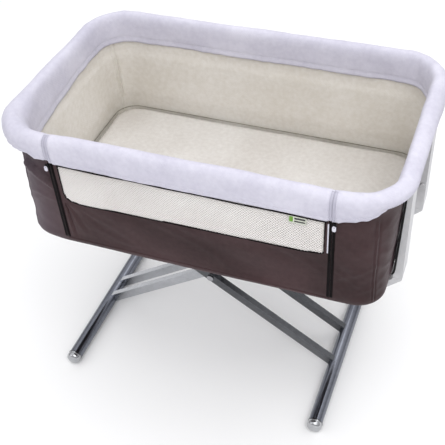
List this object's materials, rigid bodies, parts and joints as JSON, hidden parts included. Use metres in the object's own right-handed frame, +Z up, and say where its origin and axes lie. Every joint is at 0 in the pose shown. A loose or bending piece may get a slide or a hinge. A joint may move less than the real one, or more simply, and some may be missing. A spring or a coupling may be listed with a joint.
{
  "type": "bassinet on stand",
  "caption": "Bedside bassinet: a rounded fabric tub with a white rim trim, mesh window and drop-down zipped front, on a crossed-leg folding tube stand with long foot bars.",
  "frame": {"origin": "centre of the plan outline, on the floor under the feet", "axes": "+X along the long side towards the end whose housings are seen in the picture, -Y towards the drop-down front, +Z up"},
  "size_m": [0.92, 0.56, 0.8],
  "materials": {
    "satin_tube": "satin",
    "dark_tube": "satin, darker",
    "foot_cap": "silver, semi-gloss",
    "bright_steel": "bright",
    "rail_tube": "satin",
    "black_nylon": "matt",
    "grey_plastic": "satin light grey",
    "brown_fabric": "dark brown taffeta with a slight sheen",
    "cream_fabric": "cream cotton",
    "mattress_fabric": "cream cotton over foam",
    "white_fabric": "white cotton with a cool tint",
    "mesh_fabric": "ivory open mesh",
    "board": "bare fibreboard",
    "zip_tape": "black woven tape",
    "zip_metal": "bright",
    "tag": "plain woven tag"
  },
  "bodies": {
    "tub": {"outer_cover": "brown_fabric", "inner_liner_floor": "cream_fabric", "inner_liner_back": "cream_fabric", "inner_liner_left_end": "cream_fabric", "inner_liner_right_end": "cream_fabric", "rim_trim_back": "white_fabric", "rim_trim_left_end": "white_fabric", "rim_trim_right_end": "white_fabric", "rim_rail": "rail_tube", "base_board": "board", "right_housing_front": "grey_plastic", "right_housing_rear": "grey_plastic", "left_housing_front": "grey_plastic", "left_housing_rear": "grey_plastic", "rail_socket_left": "black_nylon", "rail_socket_right": "black_nylon", "zip_tape_left": "zip_tape", "zip_tape_right": "zip_tape"},
    "right_end_frame": {"right_arm_front": "dark_tube", "right_arm_rear": "dark_tube", "right_arm_tie": "dark_tube", "right_elbow_front": "grey_plastic", "right_elbow_rear": "grey_plastic"},
    "left_end_frame": {"left_arm_front": "dark_tube", "left_arm_rear": "dark_tube", "left_elbow_front": "grey_plastic", "left_elbow_rear": "grey_plastic"},
    "stand_left": {"left_foot_tube": "satin_tube", "left_foot_cap_front": "foot_cap", "left_foot_cap_rear": "foot_cap", "inner_leg_front": "satin_tube", "inner_leg_rear": "satin_tube", "inner_top_tube": "satin_tube", "pivot_bolt_front": "bright_steel", "pivot_bolt_rear": "bright_steel", "pivot_spacer_front": "black_nylon", "pivot_spacer_rear": "black_nylon", "pivot_nut_front": "bright_steel", "pivot_nut_rear": "bright_steel"},
    "stand_right": {"right_foot_tube": "dark_tube", "right_foot_cap_front": "foot_cap", "right_foot_cap_rear": "foot_cap", "outer_leg_front": "dark_tube", "outer_leg_rear": "dark_tube", "outer_slide_pin": "bright_steel"},
    "front_panel": {"front_rail": "rail_tube", "front_cover": "brown_fabric", "mesh_window": "mesh_fabric", "front_liner": "cream_fabric", "front_trim": "white_fabric", "side_tag": "tag"},
    "mattress_pad": {"mattress": "mattress_fabric"},
    "zip_left": {"zip_slider_left": "zip_metal", "zip_pull_left": "zip_metal"},
    "zip_right": {"zip_slider_right": "zip_metal", "zip_pull_right": "zip_metal"},
    "button_rf": {"right_lock_button_front": "black_nylon"},
    "button_rr": {"right_lock_button_rear": "black_nylon"},
    "button_lf": {"left_lock_button_front": "black_nylon"},
    "button_lr": {"left_lock_button_rear": "black_nylon"}
  },
  "joints": [
    {"name": "height_adjust", "type": "slide", "parent": "tub", "child": "right_end_frame", "axis": [0, 0, -1], "range_m": [0, 0.12]},
    {"name": "left_height_follow", "type": "slide", "parent": "tub", "child": "left_end_frame", "axis": [0, 0, -1], "range_m": [0, 0.12]},
    {"name": "right_leg_hinge", "type": "hinge", "parent": "right_end_frame", "child": "stand_left", "pos_m": [0.223, 0, 0.435], "axis": [0, 1, 0], "range_deg": [0, 26]},
    {"name": "stand_fold", "type": "hinge", "parent": "stand_left", "child": "stand_right", "pos_m": [-0.052, 0, 0.249], "axis": [0, -1, 0], "range_deg": [0, 52]},
    {"name": "front_drop", "type": "hinge", "parent": "tub", "child": "front_panel", "pos_m": [0, -0.2695, 0.5055], "axis": [1, 0, 0], "range_deg": [0, 150]},
    {"name": "mattress_lift", "type": "slide", "parent": "tub", "child": "mattress_pad", "axis": [0, 0, 1], "range_m": [0, 0.32]},
    {"name": "zip_left_run", "type": "slide", "parent": "tub", "child": "zip_left", "axis": [0, 0.015, -0.9999], "range_m": [0, 0.16]},
    {"name": "zip_right_run", "type": "slide", "parent": "tub", "child": "zip_right", "axis": [0, 0.015, -0.9999], "range_m": [0, 0.16]},
    {"name": "press_rf", "type": "slide", "parent": "tub", "child": "button_rf", "axis": [0, -1, 0], "range_m": [0, 0.0032], "stiffness_N_per_m": 700, "springref_m": -0.002},
    {"name": "press_rr", "type": "slide", "parent": "tub", "child": "button_rr", "axis": [0, 1, 0], "range_m": [0, 0.0032], "stiffness_N_per_m": 700, "springref_m": -0.002},
    {"name": "press_lf", "type": "slide", "parent": "tub", "child": "button_lf", "axis": [0, -1, 0], "range_m": [0, 0.0032], "stiffness_N_per_m": 700, "springref_m": -0.002},
    {"name": "press_lr", "type": "slide", "parent": "tub", "child": "button_lr", "axis": [0, 1, 0], "range_m": [0, 0.0032], "stiffness_N_per_m": 700, "springref_m": -0.002}
  ],
  "couplings": [
    {"joint": "left_height_follow", "follows": "height_adjust", "ratio": 1},
    {"joint": "right_leg_hinge", "follows": "stand_fold", "ratio": 0.5}
  ]
}
